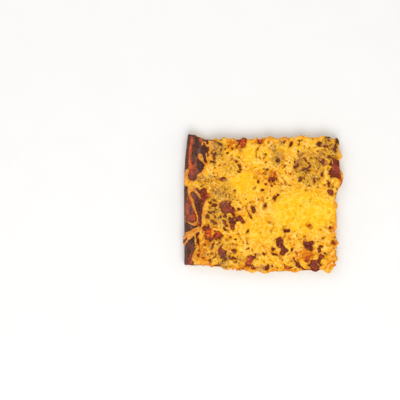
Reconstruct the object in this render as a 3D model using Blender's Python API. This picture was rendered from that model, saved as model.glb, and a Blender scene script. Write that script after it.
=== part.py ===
"""A square-cut slice of tray-baked pizza: a dough base, tomato sauce and a top of melted grated cheese.

Metres, +Z up. The slice lies on its flat underside at Z = 0, with the origin under the middle of it.
The raised, dark-baked outer crust is at -X. A knife has cut the sides at -Y, +Y and +X.
The sauce and the cheese are slabs over the plan of the dough, and each is cut to what lies below it,
with a gap of CLEARANCE. Grated cheese that still stands out of the melted top is fused to it.
"""

import math
import random

import bmesh
import bpy
from mathutils import Matrix, Vector, noise

MM = 0.001
CLEARANCE = 0.3 * MM
FLAT_ANGLE = math.radians(0.4)
SEED = 7

# Half the size of the dough, and the heights of the layers.
HALF_LENGTH = 81 * MM
HALF_WIDTH = 70 * MM
DOUGH_HEIGHT = 11.0 * MM
SAUCE_THICKNESS = 1.7 * MM
CHEESE_THICKNESS = 2.7 * MM

# The outer crust: a roll along the left side, wider at the back, with its crest at this share of the width.
RIM_RISE = 5.6 * MM
RIM_WIDTH_BACK = 28 * MM
RIM_WIDTH_FRONT = 16 * MM
RIM_CREST = 0.3
# The share of their thickness that the sauce and the cheese lose on the crest.
RIM_THINNING = 0.6

# The four sides of the dough, in millimetres. The front and back run from left to right, the others to the back.
DOUGH_FRONT = ((-84.6, -65.5), (-57, -67), (-25, -70.5), (5, -73), (40, -72), (76, -70.5))
DOUGH_BACK = (
    (-80.9, 75.1), (-73.5, 74.2), (-67, 71.2), (-60, 69.6), (-25, 70), (10, 70.5), (45, 72), (81, 70),
)
DOUGH_LEFT = ((-84.6, -65.5), (-84.6, -30), (-84.9, 10), (-83.9, 45), (-80.9, 75.1))
DOUGH_RIGHT = ((76, -70.5), (78.5, -45), (77.5, -20), (78.5, 5), (83.5, 25), (82.5, 50), (81, 70))
# Where the sauce and the cheese begin on the outer crust.
SAUCE_LEFT = ((-73, -66), (-71, -20), (-66, 25), (-61, 69.5))
CHEESE_LEFT = ((-75, -66), (-73, -40), (-64, -14), (-68, 6), (-84, 24), (-65, 46), (-60, 69.5))

# How far the sauce and the cheese stand back from the side of the dough.
SAUCE_INSET = 0.2 * MM
CHEESE_INSET = 0.7 * MM
# Places where a layer has run out over the side: x, y, reach and width, in millimetres.
SAUCE_RUNS = ((84, 24, 2.2, 9), (-20, 70, 1.2, 7))
CHEESE_RUNS = (
    (71, -73, 6.1, 7), (2, -73, 2.6, 12), (35, -72, 2.0, 8), (79, -41, 4.0, 5), (79, -2, 2.2, 7),
    (83, 14, 2.6, 5), (83, 52, 3.6, 7), (66, 71, 3.0, 9), (41, 72, 2.6, 8), (8, 71, 2.0, 8), (-44, 70, 2.2, 8),
)

# Gaps in the cheese, over the sauce: x, y, length and width in millimetres, and angle in degrees.
GAPS = (
    (-23, 66, 11, 6, 80), (-39, -3, 13, 10, -40), (-24.5, -16.5, 10, 5.5, -35), (-10.5, -4.5, 10, 4.5, -65),
    (10, 28, 11, 5.5, 100), (-56, -32, 18, 11, -20), (-43, -55.5, 10, 8, 30), (-16, -61, 11, 6.5, 60),
    (18, -42, 8, 6.5, 10), (22, -52, 9, 6, -60), (49, -43, 12, 6, -60), (49.5, -56, 8, 5, 70),
    (62.5, -55, 10, 7, -50), (58, -66, 11, 7, 15), (26, -30, 6, 5, 0), (65, 45.5, 10, 5, -20),
    (78, 40, 18, 6, 80), (75, 15.5, 13, 5, -40), (-62, 14, 12, 8, -60), (12, 7, 9, 4, 45),
)
GAP_SIDES = 9
GAP_UNEVEN = 0.5
GAP_FLARE = 2.6 * MM

# Strands of cheese that lie over the outer crust: their points and their width, in millimetres.
RIM_STRANDS = (
    (((-80, 19), (-80.3, 8), (-76.5, -4), (-72.2, -16.5), (-73, -22), (-79, -21.5), (-84, -18.5)), 3.8),
    (((-76, 19), (-72, 12), (-68, 6.5)), 3.8),
    (((-60, 9), (-63.5, -2), (-65, -11), (-62, -26)), 3.8),
    (((-84, -41), (-81, -35), (-72, -28), (-64, -24)), 4.8),
    (((-83.5, 40), (-84, 32), (-84, 22)), 4.4),
)

# Grated cheese that still stands out of the melted top.
SHRED_SPACING = 23 * MM
SHRED_SCATTER = 6 * MM
SHRED_LENGTHS = (14 * MM, 28 * MM)
SHRED_WIDTHS = (3.4 * MM, 5.0 * MM)
SHRED_POINTS = 4
SHRED_BEND = 0.9


def clear_scene():
    for old in list(bpy.data.objects):
        bpy.data.objects.remove(old, do_unlink=True)


def material(name, colour, roughness):
    made = bpy.data.materials.new(name)
    made.use_nodes = True
    shader = made.node_tree.nodes["Principled BSDF"]
    shader.inputs["Base Color"].default_value = (*colour, 1.0)
    shader.inputs["Roughness"].default_value = roughness
    shader.inputs["Metallic"].default_value = 0.0
    return made


def add_object(name, mesh, finish=None):
    made = bpy.data.objects.new(name, mesh)
    bpy.context.scene.collection.objects.link(made)
    if finish:
        made.data.materials.append(finish)
    return made


def mesh_from(bm, name):
    mesh = bpy.data.meshes.new(name)
    bm.to_mesh(mesh)
    bm.free()
    return mesh


# Plans


def smooth_side(points, count):
    """count + 1 points, evenly spaced in metres along a smooth curve through points in millimetres."""
    knots = [Vector(p) * MM for p in (points[0], *points, points[-1])]
    steps = 12
    dense = []
    for a, b, c, d in zip(knots, knots[1:], knots[2:], knots[3:]):
        for k in range(steps):
            t = k / steps
            bend = (2 * a - 5 * b + 4 * c - d) * t**2 + (3 * b - a - 3 * c + d) * t**3
            dense.append(0.5 * (2 * b + (c - a) * t + bend))
    dense.append(knots[-1])
    along = [0.0]
    for a, b in zip(dense, dense[1:]):
        along.append(along[-1] + (b - a).length)
    spaced = []
    k = 0
    for i in range(count + 1):
        reach = along[-1] * i / count
        while k < len(dense) - 2 and along[k + 1] < reach:
            k += 1
        share = (reach - along[k]) / (along[k + 1] - along[k])
        spaced.append(dense[k].lerp(dense[k + 1], share))
    return spaced


def outward(place):
    """The way out of the slice at a point on its side, on the diagonal at a corner."""
    return Vector(((place.x / HALF_LENGTH) ** 7, (place.y / HALF_WIDTH) ** 7)).normalized()


def reach_of(place, inset, runs):
    """How far beyond the dough's side a layer reaches here."""
    reach = -inset
    for x, y, most, width in runs:
        away = (place - Vector((x, y)) * MM).length / (width * MM)
        reach += (most * MM + inset) * math.exp(-(away**2))
    return reach


def layer_sides(left, inset, runs, columns, rows):
    """The sides of a layer: its own left side, and the dough's other sides moved in, or out at the runs."""
    front = (left[0], *(p for p in DOUGH_FRONT if p[0] > left[0][0] + 8))
    back = (left[-1], *(p for p in DOUGH_BACK if p[0] > left[-1][0] + 8))
    cut = [smooth_side(points, count) for points, count in ((front, columns), (back, columns), (DOUGH_RIGHT, rows))]
    moved = [[p + outward(p) * reach_of(p, inset, runs) for p in side] for side in cut]
    near = smooth_side(left, rows)
    near[0], near[-1] = moved[0][0], moved[1][0]
    return moved[0], moved[1], near, moved[2]


def dough_sides(columns, rows):
    return (
        smooth_side(DOUGH_FRONT, columns),
        smooth_side(DOUGH_BACK, columns),
        smooth_side(DOUGH_LEFT, rows),
        smooth_side(DOUGH_RIGHT, rows),
    )


def plan_grid(front, back, left, right):
    """A grid of points that fills four sides, as grid[column][row]."""
    grid = []
    for i in range(len(front)):
        u = i / (len(front) - 1)
        line = []
        for j in range(len(left)):
            v = j / (len(left) - 1)
            across = front[i].lerp(back[i], v) + left[j].lerp(right[j], u)
            corners = front[0].lerp(back[0], v).lerp(front[-1].lerp(back[-1], v), u)
            line.append(across - corners)
        grid.append(line)
    return grid


def left_edge(y):
    """X of the dough's left side at this Y."""
    for (x0, y0), (x1, y1) in zip(DOUGH_LEFT, DOUGH_LEFT[1:]):
        if y <= y1 * MM:
            break
    return (x0 + (x1 - x0) * (y / MM - y0) / (y1 - y0)) * MM


# Heights


def wave(place, size, seed):
    """Smooth noise from about -1 to 1, with bumps of this size."""
    return noise.noise(Vector((place.x / size, place.y / size, seed)))


def rim_height(place):
    """How far the outer crust stands above the rest of the dough."""
    back_share = 0.5 + place.y / (2 * HALF_WIDTH)
    width = RIM_WIDTH_FRONT + (RIM_WIDTH_BACK - RIM_WIDTH_FRONT) * back_share
    share = (place.x - left_edge(place.y)) / width
    if share >= 1:
        return 0.0
    if share < RIM_CREST:
        roll = 0.55 + 0.45 * math.sin(math.pi / 2 * max(share, 0) / RIM_CREST)
    else:
        roll = 0.5 + 0.5 * math.cos(math.pi * (share - RIM_CREST) / (1 - RIM_CREST))
    crags = 1 + 0.25 * wave(place, 15 * MM, 3.3) + 0.15 * wave(place, 7 * MM, 8.1)
    return RIM_RISE * roll * crags


def dough_top(place):
    return DOUGH_HEIGHT + 0.8 * MM * wave(place, 38 * MM, 0.7) + rim_height(place)


def thinning(place):
    return 1 - RIM_THINNING * min(rim_height(place) / RIM_RISE, 1.0)


def sauce_top(place):
    swell = 1 + 0.45 * wave(place, 16 * MM, 5.2)
    return dough_top(place) + CLEARANCE + SAUCE_THICKNESS * swell * thinning(place)


def cheese_top(place):
    swell = 1 + 0.7 * wave(place, 17 * MM, 1.9) + 0.4 * wave(place, 9 * MM, 4.4)
    return sauce_top(place) + CLEARANCE + CHEESE_THICKNESS * max(swell, 0.5) * thinning(place)


# Slabs


def slab(name, sides, top, wall):
    """A closed solid over a plan. wall(place, top_z) gives its side, from the top down, as (outset, z) pairs."""
    bm = bmesh.new()
    grid = plan_grid(*sides)
    columns, rows = len(grid) - 1, len(grid[0]) - 1
    points = [[bm.verts.new((*p, top(p))) for p in line] for line in grid]
    for i in range(columns):
        for j in range(rows):
            bm.faces.new((points[i][j], points[i + 1][j], points[i + 1][j + 1], points[i][j + 1]))
    brim = [points[i][0] for i in range(columns)]
    brim += [points[columns][j] for j in range(rows)]
    brim += [points[i][rows] for i in range(columns, 0, -1)]
    brim += [points[0][j] for j in range(rows, 0, -1)]
    add_wall(bm, brim, wall)
    bmesh.ops.triangulate(bm, faces=bm.faces)
    return mesh_from(bm, name)


def add_wall(bm, brim, wall):
    """Rings of faces from the brim of the top down to a flat underside."""
    rings = [brim]
    for vert in brim:
        place = vert.co.xy
        for level, (outset, z) in enumerate(wall(place, vert.co.z), start=1):
            if level == len(rings):
                rings.append([])
            rings[level].append(bm.verts.new((*(place + outward(place) * outset), z)))
    for upper, lower in zip(rings, rings[1:]):
        for k in range(len(brim)):
            after = (k + 1) % len(brim)
            bm.faces.new((upper[k], lower[k], lower[after], upper[after]))
    bm.faces.new(reversed(rings[-1]))


def dough_wall(place, top_z):
    """The side of the dough: a soft lower edge, and a cut that bulges and dents a little."""
    dent = 0.7 * MM * wave(place, 9 * MM, 2.2)
    return (
        (1.0 * MM + dent, top_z * 0.84),
        (1.4 * MM - dent, top_z * 0.52),
        (0.6 * MM + dent, top_z * 0.2),
        (-1.2 * MM, 0.0),
    )


def sauce_wall(_, top_z):
    return (0.5 * MM, top_z - 0.8 * MM), (0.2 * MM, DOUGH_HEIGHT - 2.5 * MM)


def cheese_wall(place, top_z):
    """The side of the cheese. Where it reaches past the dough, it has run down over the cut."""
    reach = max(reach_of(place, CHEESE_INSET, CHEESE_RUNS), 0.0)
    lip = sauce_top(place) - 1.4 * reach
    return (
        (0.7 * MM, top_z - 1.0 * MM),
        (0.3 * MM, lip + 0.3 * MM),
        (-0.8 * MM, lip - 0.3 * MM),
        (-reach - 3.5 * MM, DOUGH_HEIGHT - 4.5 * MM),
    )


# Details of the cheese


def gap_cutter(x, y, length, width, angle, seed):
    """An uneven oval plug, wider at its top, that leaves a gap with sloping sides."""
    bm = bmesh.new()
    turn = Matrix.Rotation(math.radians(angle), 2)
    levels = ((DOUGH_HEIGHT - 6 * MM, 0.0), (DOUGH_HEIGHT + 2.5 * MM, 0.0), (DOUGH_HEIGHT + 14 * MM, GAP_FLARE))
    rings = []
    for z, flare in levels:
        ring = []
        for k in range(GAP_SIDES):
            around = 2 * math.pi * k / GAP_SIDES
            uneven = 1 + GAP_UNEVEN * noise.noise(Vector((2 * math.cos(around), 2 * math.sin(around), seed)))
            spot = Vector((length * math.cos(around), width * math.sin(around))) * uneven * MM / 2
            spot += spot.normalized() * flare
            spot = turn @ spot + Vector((x, y)) * MM
            ring.append(bm.verts.new((*spot, z)))
        rings.append(ring)
    for lower, upper in zip(rings, rings[1:]):
        for k in range(GAP_SIDES):
            after = (k + 1) % GAP_SIDES
            bm.faces.new((lower[k], lower[after], upper[after], upper[k]))
    bm.faces.new(reversed(rings[0]))
    bm.faces.new(rings[-1])
    return add_object("gap", mesh_from(bm, "gap"))


def strand(points, width):
    """A round strand of cheese along a line of points, with thinner ends."""
    curve = bpy.data.curves.new("strand", "CURVE")
    curve.dimensions = "3D"
    curve.bevel_depth = width / 2
    curve.bevel_resolution = 1
    curve.use_fill_caps = True
    spline = curve.splines.new("POLY")
    spline.points.add(len(points) - 1)
    for k, (spot, place) in enumerate(zip(spline.points, points)):
        spot.co = (*place, 1)
        spot.radius = 0.6 if k in (0, len(points) - 1) else 1.0
    guide = add_object("strand", curve)
    graph = bpy.context.evaluated_depsgraph_get()
    mesh = bpy.data.meshes.new_from_object(guide.evaluated_get(graph))
    bpy.data.objects.remove(guide, do_unlink=True)
    return add_object("strand", mesh)


def rim_strand(points, width):
    """A strand that lies on the outer crust and on the edge of the cheese."""
    places = smooth_side(points, 2 * len(points))
    return strand([(*p, dough_top(p) + CLEARANCE + 0.3 * width * MM) for p in places], width * MM)


def shred(centre, length, heading, bend, width):
    """A bent piece of grated cheese, half sunk in the top."""
    step = length / (SHRED_POINTS - 1)
    places = [Vector((0.0, 0.0))]
    for k in range(SHRED_POINTS - 1):
        turn = heading + bend * (2 * k / (SHRED_POINTS - 2) - 1)
        places.append(places[-1] + Vector((math.cos(turn), math.sin(turn))) * step)
    middle = sum(places, Vector((0.0, 0.0))) / SHRED_POINTS
    places = [p - middle + centre for p in places]
    return strand([(*p, cheese_top(p)) for p in places], width)


def grated_cheese(draw):
    """Shreds spread evenly over the top, each a little off its place, with a heading and a bend of its own."""
    columns, rows = round(2 * HALF_LENGTH / SHRED_SPACING), round(2 * HALF_WIDTH / SHRED_SPACING)
    grid = plan_grid(*layer_sides(CHEESE_LEFT, CHEESE_INSET, (), 2 * columns, 2 * rows))
    made = []
    for i in range(1, 2 * columns, 2):
        for j in range(1, 2 * rows, 2):
            off = Vector((draw.uniform(-1, 1), draw.uniform(-1, 1))) * SHRED_SCATTER
            length, width = draw.uniform(*SHRED_LENGTHS), draw.uniform(*SHRED_WIDTHS)
            heading, bend = draw.uniform(0, math.pi), draw.uniform(-SHRED_BEND, SHRED_BEND)
            made.append(shred(grid[i][j] + off, length, heading, bend, width))
    return made


# Joining and cutting


def boolean(body, operation, tools):
    """Joins the tools to the body, or cuts the body with them, and removes them."""
    group = bpy.data.collections.new("tools")
    for tool in tools:
        bpy.context.scene.collection.objects.unlink(tool)
        group.objects.link(tool)
    modifier = body.modifiers.new("boolean", "BOOLEAN")
    modifier.operation = operation
    modifier.operand_type = "COLLECTION"
    modifier.collection = group
    modifier.solver = "EXACT"
    bpy.context.view_layer.update()
    graph = bpy.context.evaluated_depsgraph_get()
    mesh = bpy.data.meshes.new_from_object(body.evaluated_get(graph))
    body.modifiers.clear()
    body.data = mesh
    for tool in tools:
        bpy.data.objects.remove(tool, do_unlink=True)
    bpy.data.collections.remove(group)


def shells_of(bm):
    """The separate shells of a mesh, as sets of faces, from the smallest."""
    left = set(bm.faces)
    shells = []
    while left:
        ahead = [left.pop()]
        shell = set(ahead)
        while ahead:
            near = {f for e in ahead.pop().edges for f in e.link_faces} & left
            left -= near
            shell |= near
            ahead.extend(near)
        shells.append(shell)
    return sorted(shells, key=len)


def keep_main_shell(body):
    """Drops loose scraps and sealed hollows, and merges the flat faces that a cut has left."""
    bm = bmesh.new()
    bm.from_mesh(body.data)
    scraps = [face for shell in shells_of(bm)[:-1] for face in shell]
    bmesh.ops.delete(bm, geom=scraps, context="FACES")
    bmesh.ops.dissolve_limit(bm, angle_limit=FLAT_ANGLE, verts=bm.verts, edges=bm.edges)
    bmesh.ops.triangulate(bm, faces=bm.faces)
    bm.to_mesh(body.data)
    bm.free()


def raised(body):
    """A copy of a layer, moved up and spread by CLEARANCE, that cuts the layer above it."""
    spread = 1 + CLEARANCE / HALF_WIDTH
    mesh = body.data.copy()
    mesh.transform(Matrix.Translation((0, 0, CLEARANCE)) @ Matrix.Diagonal((spread, spread, 1, 1)))
    return add_object("clearance", mesh)


# Layers


def make_crust():
    finish = material("crust", (0.42, 0.21, 0.08), 0.75)
    return add_object("crust", slab("crust", dough_sides(26, 21), dough_top, dough_wall), finish)


def make_sauce(crust):
    """The sauce, and the bed that it makes for the cheese: the same slab, raised before it was cut."""
    finish = material("tomato_sauce", (0.22, 0.03, 0.015), 0.35)
    sides = layer_sides(SAUCE_LEFT, SAUCE_INSET, SAUCE_RUNS, 20, 18)
    sauce = add_object("tomato_sauce", slab("sauce", sides, sauce_top, sauce_wall), finish)
    bed = raised(sauce)
    boolean(sauce, "DIFFERENCE", [raised(crust)])
    keep_main_shell(sauce)
    return sauce, bed


def make_cheese(crust, bed):
    finish = material("cheese", (0.93, 0.52, 0.06), 0.4)
    sides = layer_sides(CHEESE_LEFT, CHEESE_INSET, CHEESE_RUNS, 28, 25)
    cheese = add_object("cheese", slab("cheese", sides, cheese_top, cheese_wall), finish)
    draw = random.Random(SEED)
    on_top = grated_cheese(draw) + [rim_strand(*each) for each in RIM_STRANDS]
    boolean(cheese, "UNION", on_top)
    boolean(cheese, "DIFFERENCE", [gap_cutter(*gap, seed) for seed, gap in enumerate(GAPS)])
    boolean(cheese, "DIFFERENCE", [raised(crust), bed])
    keep_main_shell(cheese)
    return cheese


def main():
    clear_scene()
    crust = make_crust()
    _, bed = make_sauce(crust)
    make_cheese(crust, bed)


main()
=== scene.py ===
"""The looks of a square-cut slice of tray-baked pizza, seen from straight above on a pale floor.

The dough, the sauce and the cheese are worked out as distance fields on a fine grid of points, from named
sizes and places, and each field becomes a mesh. Colour comes from node materials, which read a few values
stored on each mesh, such as how dark a place is baked. X runs from the outer crust to the far cut, Y to the
back, Z up. Everything is in millimetres until make_piece, which turns it into metres.
"""

import math

import bpy
import numpy as np
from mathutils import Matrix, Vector, noise


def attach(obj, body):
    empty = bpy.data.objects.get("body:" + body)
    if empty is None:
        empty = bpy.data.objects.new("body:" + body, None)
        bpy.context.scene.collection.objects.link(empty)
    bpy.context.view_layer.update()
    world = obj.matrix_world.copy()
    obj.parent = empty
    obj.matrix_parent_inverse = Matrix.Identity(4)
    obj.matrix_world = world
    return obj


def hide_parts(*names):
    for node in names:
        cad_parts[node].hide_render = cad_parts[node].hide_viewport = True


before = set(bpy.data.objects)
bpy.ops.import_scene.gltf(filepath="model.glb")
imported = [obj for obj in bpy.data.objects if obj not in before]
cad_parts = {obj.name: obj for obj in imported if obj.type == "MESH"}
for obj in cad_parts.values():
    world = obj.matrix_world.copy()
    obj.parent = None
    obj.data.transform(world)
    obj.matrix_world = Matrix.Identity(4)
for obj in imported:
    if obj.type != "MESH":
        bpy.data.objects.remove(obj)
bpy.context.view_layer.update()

MM = 0.001
TRIANGLES_MOST = 190_000

# The photograph's width in pixels, the size of a pixel on the slice, and the place under the camera.
PHOTO_WIDTH = 400
PIXEL = 1.1
CAMERA_AT = (-68.75, 4.4)
CAMERA_HEIGHT = 1500
SENSOR_WIDTH = 36
# Square lamps: their place in metres, width and power in watts. The sky's light comes from all around.
LAMPS = {"key": ((0.1, -0.85, 1.5), 1.15, 16.5), "fill": ((-0.7, 0.8, 1.5), 1.6, 7)}
SKY_LIGHT = 0.6
# The floor's width in metres, and its number of squares each way.
FLOOR_WIDTH = 4.0
FLOOR_SQUARES = 24

# The box and the step of the grid that each piece is worked out on.
DOUGH_GRID = ((-89, -77, -1.5), (87, 79, 22), 0.6)
SAUCE_GRID = ((-76, -79, 6), (90, 76, 20), 0.6)
CHEESE_GRID = ((-90, -80, 4), (90, 79, 25), 0.5)

# The layers, as in the CAD model.
DOUGH_HEIGHT = 11.0
SAUCE_THICKNESS = 1.7
CHEESE_THICKNESS = 2.7
CLEARANCE = 0.3
HALF_LENGTH = 81
HALF_WIDTH = 70
RIM_RISE = 5.6
RIM_WIDTH_BACK = 28
RIM_WIDTH_FRONT = 16
RIM_CREST = 0.3
RIM_THINNING = 0.6

# The sides of the dough, as in the CAD model.
DOUGH_FRONT = ((-84.6, -65.5), (-57, -67), (-25, -70.5), (5, -73), (40, -72), (76, -70.5))
DOUGH_RIGHT = ((76, -70.5), (78.5, -45), (77.5, -20), (78.5, 5), (83.5, 25), (82.5, 50), (81, 70))
DOUGH_BACK = (
    (81, 70), (45, 72), (10, 70.5), (-25, 70), (-60, 69.6), (-67, 71.2), (-73.5, 74.2), (-80.9, 75.1),
)
DOUGH_LEFT = ((-80.9, 75.1), (-83.9, 45), (-84.9, 10), (-84.6, -30), (-84.6, -65.5))
# The sauce's edge on the outer crust, from back to front.
SAUCE_LEFT = ((-61, 69.5), (-66, 25), (-71, -20), (-73, -66))
# How far the side of the dough bulges out at these shares of its height.
BULGE_AT = (0, 0.2, 0.52, 0.84, 1)
BULGES = (-1.2, 0.6, 1.4, 1.0, 0.2)
# Air holes of the crumb that the knife has opened: how many there are, and their radii.
PORES = 1500
PORE_RADII = (0.45, 1.95)

# The outline of the cheese, anticlockwise from the front left.
CHEESE_OUTLINE = (
    (-76.5, -66.5), (-76, -56), (-74, -47), (-74, -38), (-70, -31), (-66, -16), (-65, -3), (-62.5, 7),
    (-66, 12), (-70, 14), (-74, 17.5), (-78, 16), (-80.5, 11.5), (-83, 18), (-85.5, 19), (-87, 24), (-86, 30),
    (-83, 33), (-80, 27), (-76, 25), (-72, 29), (-67, 33), (-65, 40), (-62, 46), (-60, 52), (-59.5, 60),
    (-60, 69.5), (-46, 70.8), (-41, 72), (-30, 70.8), (-17, 70.5), (-3, 72), (16, 72.5), (28, 71.8),
    (40, 73.5), (56, 73.4), (66, 73.3), (72, 74), (79, 69.5), (83, 63), (84.5, 52), (82.5, 48), (78.5, 44),
    (77, 38), (76.5, 32), (80, 29.5), (83.5, 27), (84, 20), (80.5, 13), (78.5, 2), (80.5, -12), (79.5, -32),
    (81, -43), (80, -56), (78.8, -68), (71.5, -75.5), (63, -71.8), (39, -71.5), (20, -73.5), (0, -74),
    (-16, -73.6), (-30, -70.8), (-56, -67.5),
)
# Cheese and sauce that have run down over the cut sides: x, y, drop, and width along the side, and how thick
# the runs are.
CHEESE_RUNS = (
    (71, -72.5, 7.5, 9), (2, -73, 5, 13), (-12, -72.5, 3, 8), (35, -72, 3, 10), (-40, -69, 3.5, 11),
    (78.5, -41, 5.5, 6), (78.5, -2, 3, 10), (79, -60, 6, 8), (83.5, 52, 6.5, 7), (66, 71.5, 4, 9),
    (41, 72, 5.5, 7), (8, 71, 3, 10), (-42, 70, 3.5, 8), (84.5, 28.5, 3.5, 19),
)
SAUCE_RUNS = ((84.3, 26.5, 4.5, 20), (-21, 70, 4, 7), (57, -71.3, 3, 9))
CHEESE_RUN_THICKNESS = 1.7
SAUCE_RUN_THICKNESS = 1.5

# Gaps in the cheese over the sauce: x, y, length, width, and angle in degrees.
GAPS = (
    (-22.5, 66.5, 13, 6, 85), (-39.8, -3.4, 16, 13.5, -40), (-26, -16.2, 12, 7, -38),
    (-11.4, -5, 11.5, 5, -66), (10, 27.5, 11, 6, 98), (-54.3, -33, 21, 12.5, -24),
    (-42.8, -55.4, 14, 9.6, -62), (-16.4, -64, 9, 6, 65), (18.2, -43, 10.5, 9, -70),
    (21.6, -50.6, 11, 6.8, -72), (49, -42.2, 12.5, 7.6, -62), (48.6, -57, 12, 8.5, 65),
    (63, -55.6, 13, 8.6, -48), (56.5, -66, 14, 10, 8), (26.5, -30, 8.5, 7.4, 0), (64.5, 45.4, 11.5, 3.6, -22),
    (79.8, 38.5, 20, 8, 84), (74.8, 15.4, 14.6, 7.6, -42), (-64, 14, 10, 8, -60), (12.3, 8, 9, 4, 48),
    (-33.8, -21.5, 8.5, 4.6, -65), (-58, -37.6, 11, 5.4, -8),
)
# Smaller gaps and slits, in the same form.
SLITS = (
    (-46.4, 27.2, 9.5, 3, 4), (-41.3, -20.5, 6.5, 4, -50), (-41, -26.7, 6, 2.4, -25),
    (-13.4, -57.4, 6, 4.4, -30), (27, -69.2, 5, 2.4, -15), (-11, -70, 4, 2.4, -30), (-59.8, 7, 5, 4, 60),
    (-54.5, -2.2, 8, 2.6, 12), (-32.5, 66.4, 5, 1.8, 25), (-33.2, 59.8, 3.4, 2.4, 0),
    (-27.6, 62.2, 3.2, 2.2, 60), (-61, -14, 6, 4, 80), (-31.7, -50.5, 6, 3, -70), (-5.5, -55.4, 4, 3, 0),
    (0.5, -54.8, 3.5, 2.5, 20), (4, -69.5, 6, 4, 10), (37.7, -66, 14, 3.6, -38), (50.6, -24.6, 7, 4.4, -35),
    (74.4, 34, 6, 5, 0), (60.3, 65.3, 5.4, 4.4, -10), (66.5, 64, 9, 3, -18), (79, 60.5, 7, 2.6, 80),
    (36.7, 41.5, 6, 4, 40), (47.3, 37, 7, 3.5, -50), (55.6, 26.5, 6, 3, 75), (41.4, 27, 4.5, 3, 50),
    (15.3, 47, 5, 3.5, 20), (-8, 29.5, 3, 3, 0), (-5.5, 24.8, 4, 2.4, 60), (-46.5, -47, 9, 2.2, 62),
    (77.4, -41.5, 6, 4, -50), (-3.8, 68.5, 9, 5, 84), (-14.8, -10.8, 11, 1.9, -59), (-52, 3.5, 4, 2.4, -50),
    (-56, -1, 4.5, 2.2, 70), (-53.5, -19, 6, 2.4, -20), (-33, -12, 4, 3, 10), (-24, -71, 5, 3, 0),
    (-7, 56, 8, 1.6, 75), (31, 65.5, 5, 2, 50), (24, 22, 3, 2, 80), (43, -57, 4, 2, 70),
    (-52, 51.5, 6.5, 3.4, 80), (-50.6, 60, 5.5, 2.6, -62), (-47, 66, 6, 2.5, -20), (73, -26, 3, 3, 0),
    (66, -38, 3, 2, -40), (-31, -50.5, 7, 4.5, -60), (-38, -37, 5, 2, 40), (-55, -45, 6, 2, 65),
    (-50, -68, 5, 2.4, 10), (-33, -62, 5, 2.4, -50), (71.5, 19.5, 6, 2.6, -38), (65, 33.6, 4.5, 2.4, 80),
    (-57.5, -64, 6, 2.2, 78), (-28, -34, 4, 2, 60), (-70.5, -42, 8, 2, 85), (-71.2, -54, 9, 2.4, 88),
    (-68.4, -48, 6, 2, 80), (6.7, -20.1, 4, 2.2, -15), (-16.8, -41, 4.6, 2, 85), (-25.5, -35, 7, 1.8, -60),
    (-16.8, -29.6, 3, 1.8, 50), (11, -47.8, 5, 1.8, -75), (1.2, -2, 5, 2.2, -80), (23.2, -35.6, 3, 1.8, 70),
    (29, -38, 3, 1.8, -20), (9, -29, 4, 1.6, 60), (14, -55.6, 8, 1.7, -12), (1, 34, 3, 2, 30),
    (3, 22, 3, 2, -40), (-10, 17, 4, 2, 60), (-1, 15, 3, 2, 0), (-66, -56, 4, 2, 80),
)
# Patches where the cheese has dried out brown: x, y, and half the size along X and Y.
DRIED = (
    (42.5, 52, 4, 6), (38.5, 45.5, 4, 5), (36, 41, 3, 3), (48, 37, 3, 4), (67, 65, 7, 4), (71, 71, 4, 3),
    (78.5, 60.5, 4, 6), (63, 53, 6, 4), (65, 45, 6, 4), (65, 33.6, 1.6, 2.6), (41, 27.5, 2.4, 2.4),
    (55.7, 28, 2, 5), (16, 52, 4, 5), (11, 62, 4, 5), (20, 66, 4, 4), (-51, 58, 5.5, 11), (-45, 62, 3, 4),
    (-43, 27, 6, 3), (-46, 12, 6, 5), (-52, -6, 5, 5), (-44, -66, 7, 5), (-2, -69.5, 6, 4), (-56, 30, 5, 4),
    (-66, 28, 4, 3), (-54, 44, 4, 4),
)
# Tips that have burnt black, in the same form.
BURNT = ((82.2, 69.4, 3.6, 4.6), (-87.4, -40, 1.8, 2.2), (60.6, 65.6, 2.8, 2.2), (71.5, 73, 3, 1.6))
# Small holes where steam has broken through: how many are tried, where along X and Y, and their widths.
PITS = 150
PIT_AREA = ((-74, 80), (-70, 70))
PIT_WIDTHS = (0.8, 2.1)
# In the brown patches the cheese is lace: how full of holes it is, and how steep their sides are.
LACE_LEVEL = 1.02
LACE_SLOPE = 2.6
# Toasted crumbs in the brown patches: how many are tried, where, their radii, and how much they are squashed.
CRUMBS = 1500
CRUMB_AREA = ((-80, 83), (-73, 73))
CRUMB_RADII = (0.6, 1.6)
CRUMB_SQUASH = ((0.6, 0.6, 0.35), (1.4, 1.4, 0.6))
# Small dark baked specks scattered over the cheese: how many are tried, where, and their radii.
SPECKS = 480
SPECK_AREA = ((-82, 84), (-74, 73))
SPECK_RADII = (0.35, 1.0)
# Shreds that have almost melted in, which still show as low ridges and furrows, with painted highlights on
# the
# ridges and painted shade in the furrows: how many there are of each, where, and how long they are.
TRACES = 620
TRACE_AREA = ((-80, 82), (-72, 72))
TRACE_LENGTHS = (3.0, 9.0)

# Every zone fades out between these shares of its size.
ZONE_FADE = (0.55, 1.3)
# Zones of the cheese, melted smooth and toasted: x, y, half the size along X and Y, and a weight under 1
# where the zone is weak.
MELTED = (
    (44, -8, 38, 26), (-18, 22, 22, 16, 0.74), (2, -28, 30, 20, 0.62), (-14, 55, 10, 14, 0.72),
    (60, -60, 14, 8, 0.6), (20, 60, 12, 8, 0.6),
)
TOASTED = (
    (48.5, 40, 17, 20), (72, 60, 12, 15), (16, 51, 8, 11), (-50, 59, 8, 13), (-45, 10, 15, 16),
    (-43, -60, 8, 12), (-63, 25, 8, 6), (-36, 42, 12, 10, 0.6), (-50, -14, 15, 13), (57, 27, 7, 8),
    (-50, -50, 20, 14, 0.6), (-20, -62, 14, 8, 0.4),
)
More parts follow.
